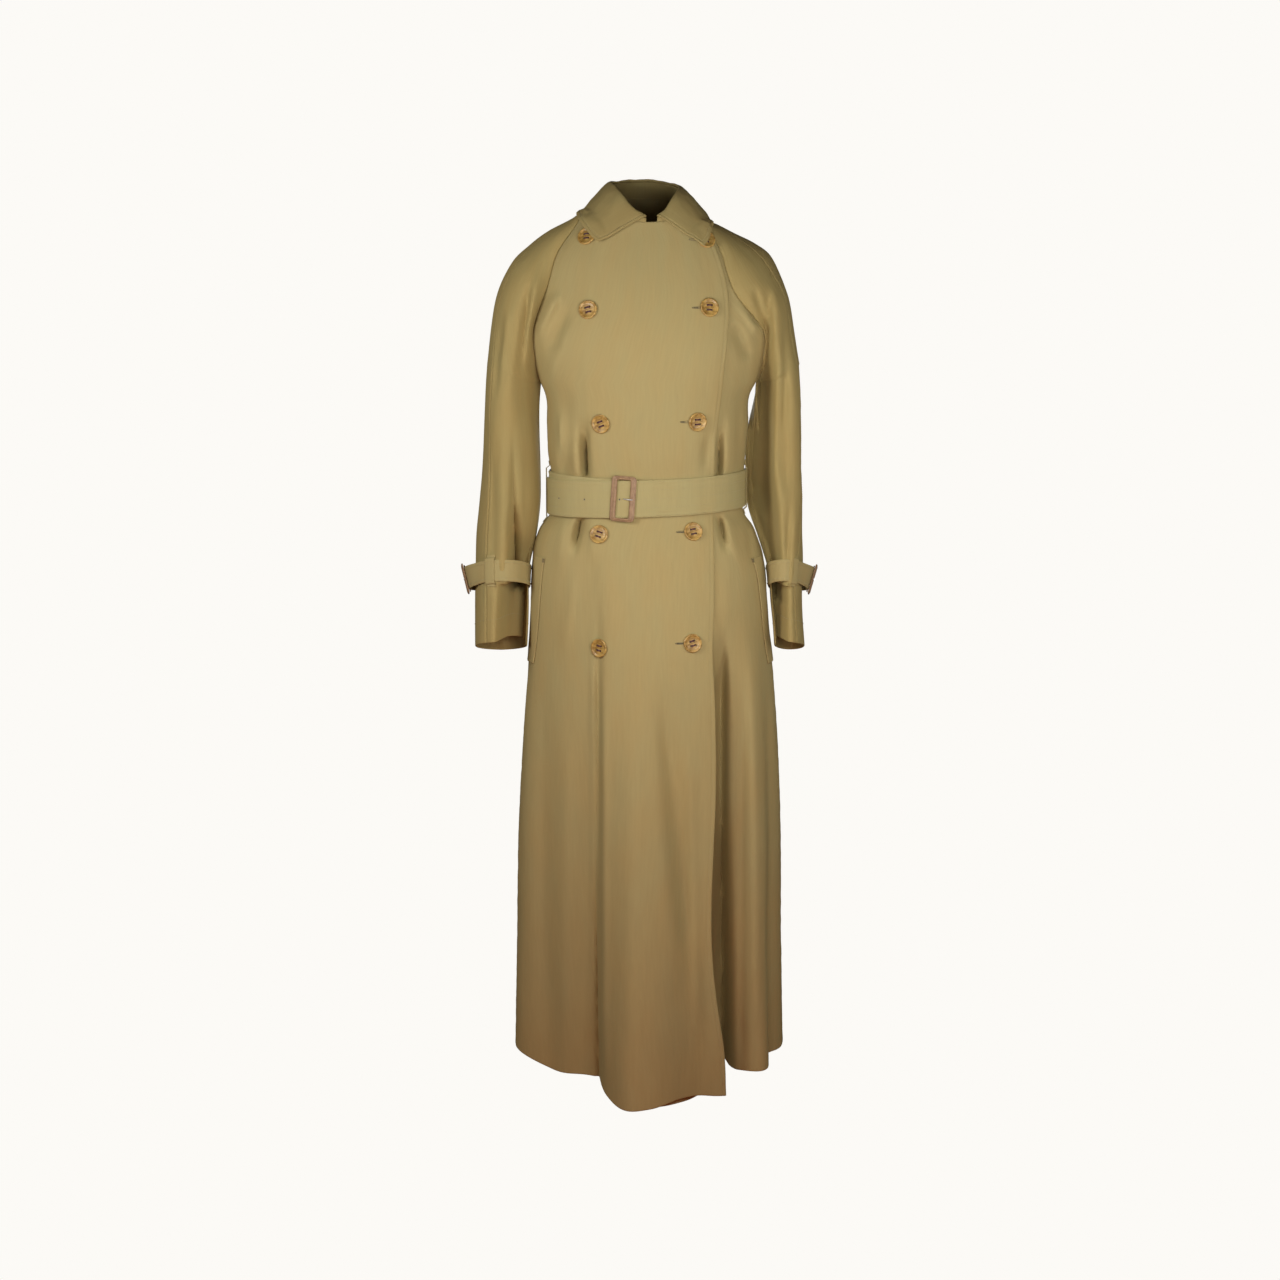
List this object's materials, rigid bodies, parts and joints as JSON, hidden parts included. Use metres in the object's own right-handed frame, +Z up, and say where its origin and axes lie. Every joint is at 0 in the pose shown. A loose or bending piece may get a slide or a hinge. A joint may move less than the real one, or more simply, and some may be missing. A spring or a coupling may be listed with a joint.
{
  "type": "trench coat",
  "caption": "Long double-breasted trench coat, closed and belted, with raglan sleeves, a turn-down collar and cuff straps, hollow as it hangs when filled out",
  "frame": {"origin": "the middle of the neck's base, where the coat hangs from the wearer's neck and shoulders", "axes": "+Z up the body, +X to the wearer's left, and the front faces -Y"},
  "size_m": [0.5245, 0.3881, 1.3265],
  "materials": {
    "gabardine": "khaki cotton gabardine with a fine diagonal weave and a soft sheen",
    "horn": "tan imitation horn, satin, faintly mottled",
    "leather": "brown leather covering, satin, fine grain",
    "metal": "plain steel wire"
  },
  "bodies": {
    "root": {"back": "gabardine", "belt": "gabardine", "belt_buckle": "leather", "belt_loop_left": "gabardine", "belt_loop_right": "gabardine", "belt_prong": "metal", "button_1_left": "horn", "button_1_right": "horn", "button_2_left": "horn", "button_2_right": "horn", "button_3_left": "horn", "button_3_right": "horn", "button_4_left": "horn", "button_4_right": "horn", "button_5_left": "horn", "button_5_right": "horn", "collar": "gabardine", "collar_stand": "gabardine", "cuff_buckle_left": "leather", "cuff_buckle_right": "leather", "cuff_keeper_left": "gabardine", "cuff_keeper_right": "gabardine", "cuff_prong_left": "metal", "cuff_prong_right": "metal", "cuff_strap_left": "gabardine", "cuff_strap_right": "gabardine", "front_left": "gabardine", "front_right": "gabardine", "pocket_welt_left": "gabardine", "pocket_welt_right": "gabardine", "sleeve_left_back": "gabardine", "sleeve_left_front": "gabardine", "sleeve_right_back": "gabardine", "sleeve_right_front": "gabardine"}
  },
  "joints": []
}
